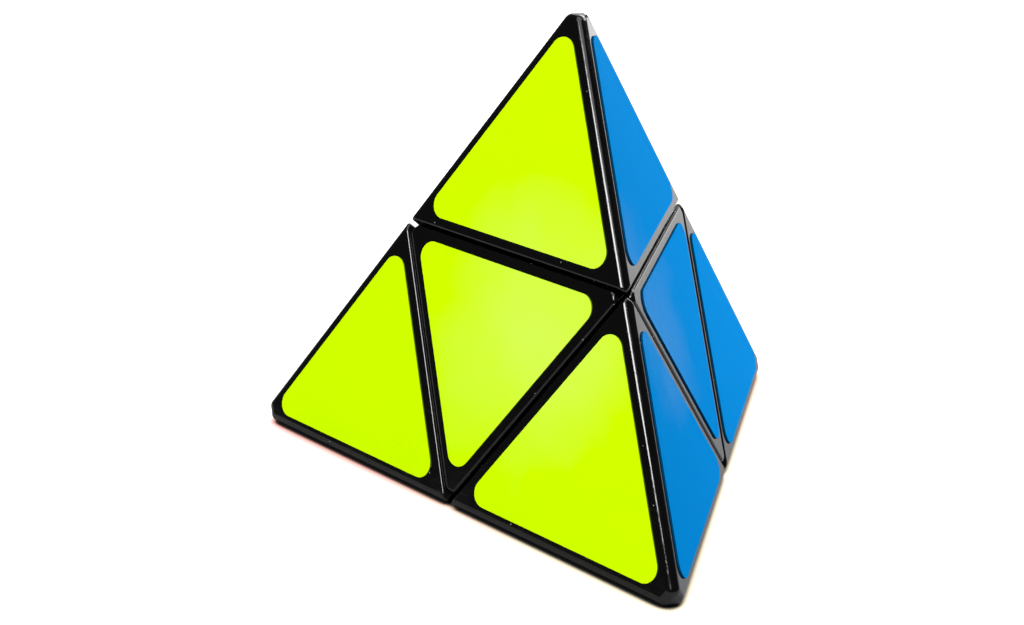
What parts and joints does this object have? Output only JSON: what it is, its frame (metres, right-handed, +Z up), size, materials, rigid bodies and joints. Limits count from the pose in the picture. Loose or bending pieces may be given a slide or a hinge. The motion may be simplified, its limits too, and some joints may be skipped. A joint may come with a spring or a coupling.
{
  "type": "pyramid twisty puzzle",
  "caption": "Tetrahedral twisty puzzle in black plastic with coloured triangular stickers, cut through its centre so that its halves turn on a hidden sprung core.",
  "frame": {"origin": "centre of the bottom face, on the outside of the stickers that the puzzle rests on", "axes": "+Z up through the top vertex; X along the bottom edge of the front face, from its left vertex to its right one; -Y out of the front face's side"},
  "size_m": [0.0928, 0.0811, 0.0765],
  "materials": {
    "black_shell": "glossy moulded, rounded edges",
    "dark_mechanism": "semi-gloss, lubricated",
    "pale_core": "natural moulded",
    "spring_steel": "plated",
    "yellow_vinyl": "fluorescent yellow-green vinyl film",
    "blue_vinyl": "blue vinyl film",
    "green_vinyl": "green vinyl film",
    "red_vinyl": "red vinyl film"
  },
  "bodies": {
    "upper_right_half": {"base_front": "black_shell", "base_front_right": "black_shell", "base_right": "black_shell", "base_top": "black_shell", "centre_cap_a1": "dark_mechanism", "face_cap_front": "black_shell", "face_cap_right": "black_shell", "hidden_edge_a1_b1": "dark_mechanism", "hidden_edge_a1_b2": "dark_mechanism", "hidden_edge_a1_c1": "dark_mechanism", "hidden_edge_a1_c2": "dark_mechanism", "sticker_bottom_front_right": "red_vinyl", "sticker_front_front_right": "yellow_vinyl", "sticker_front_middle": "yellow_vinyl", "sticker_front_top": "yellow_vinyl", "sticker_left_top": "green_vinyl", "sticker_right_front_right": "blue_vinyl", "sticker_right_middle": "blue_vinyl", "sticker_right_top": "blue_vinyl", "tip_cap_front_right": "black_shell", "tip_cap_top": "black_shell"},
    "lower_left_half": {"base_back": "black_shell", "base_bottom": "black_shell", "base_front_left": "black_shell", "base_left": "black_shell", "centre_cap_a2": "dark_mechanism", "face_cap_bottom": "black_shell", "face_cap_left": "black_shell", "hidden_edge_a2_b1": "dark_mechanism", "hidden_edge_a2_b2": "dark_mechanism", "hidden_edge_a2_c1": "dark_mechanism", "hidden_edge_a2_c2": "dark_mechanism", "sticker_bottom_back": "red_vinyl", "sticker_bottom_front_left": "red_vinyl", "sticker_bottom_middle": "red_vinyl", "sticker_front_front_left": "yellow_vinyl", "sticker_left_back": "green_vinyl", "sticker_left_front_left": "green_vinyl", "sticker_left_middle": "green_vinyl", "sticker_right_back": "blue_vinyl", "tip_cap_back": "black_shell", "tip_cap_front_left": "black_shell"},
    "core_slice": {"centre_cap_b1": "dark_mechanism", "centre_cap_b2": "dark_mechanism", "centre_cap_c1": "dark_mechanism", "centre_cap_c2": "dark_mechanism", "core_spider": "pale_core", "hidden_edge_b1_c1": "dark_mechanism", "hidden_edge_b1_c2": "dark_mechanism", "hidden_edge_b2_c1": "dark_mechanism", "hidden_edge_b2_c2": "dark_mechanism", "tension_screws": "spring_steel", "tension_springs": "spring_steel", "tension_washers": "spring_steel"}
  },
  "joints": [
    {"name": "upper_right_half_turn", "type": "hinge", "parent": "core_slice", "child": "upper_right_half", "pos_m": [0, 0, 0.02025], "axis": [0.7071, -0.4082, 0.5774], "continuous": true},
    {"name": "lower_left_half_turn", "type": "hinge", "parent": "core_slice", "child": "lower_left_half", "pos_m": [0, 0, 0.02025], "axis": [-0.7071, 0.4082, -0.5774], "continuous": true}
  ]
}
